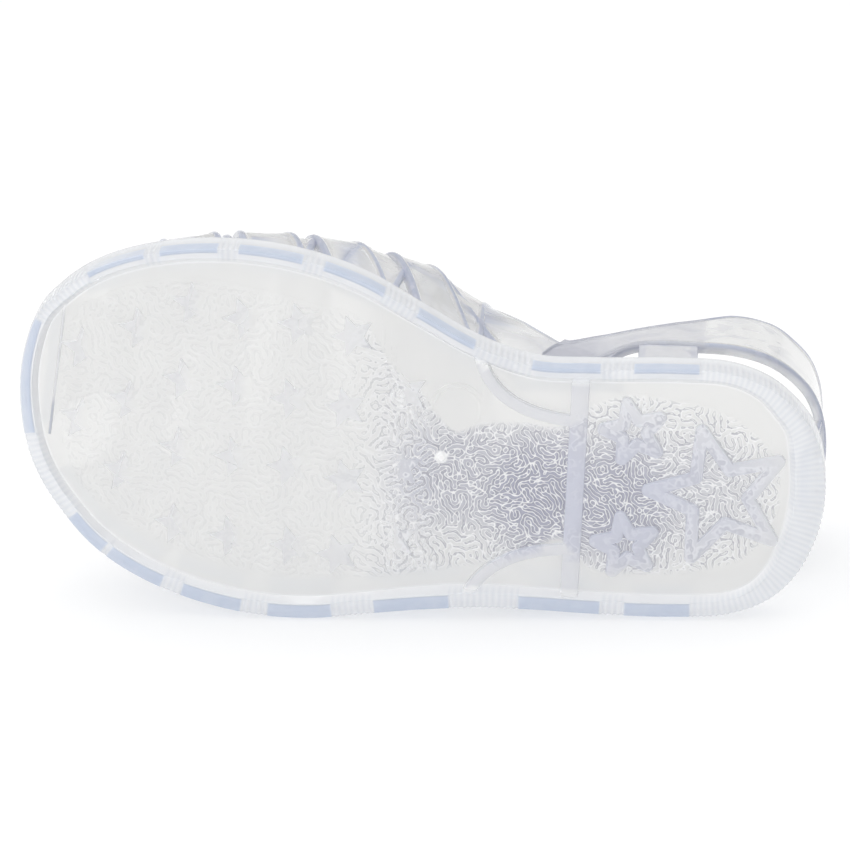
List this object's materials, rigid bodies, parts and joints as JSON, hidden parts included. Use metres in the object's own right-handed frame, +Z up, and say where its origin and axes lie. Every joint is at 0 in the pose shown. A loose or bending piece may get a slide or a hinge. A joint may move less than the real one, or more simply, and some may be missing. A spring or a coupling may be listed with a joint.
{
  "type": "beach sandal",
  "caption": "Clear moulded toddler beach sandal for the right foot, with a crossing strap cage, heel band and star tread, lying on its outer side.",
  "frame": {"origin": "middle of the footprint of the resting sandal, on the floor", "axes": "X along the foot with the toe toward -X, Y from the tread (-Y) to the straps (+Y), Z up from the floor, the inner side of the foot on top"},
  "size_m": [0.1452, 0.0548, 0.0696],
  "materials": {
    "sole_plastic": "clear soft PVC with a faint blue tint, fine raised texture on the tread",
    "strap_plastic": "clear soft PVC with a faint blue tint, smooth"
  },
  "bodies": {
    "root": {"outsole": "sole_plastic", "upper": "strap_plastic"}
  },
  "joints": []
}
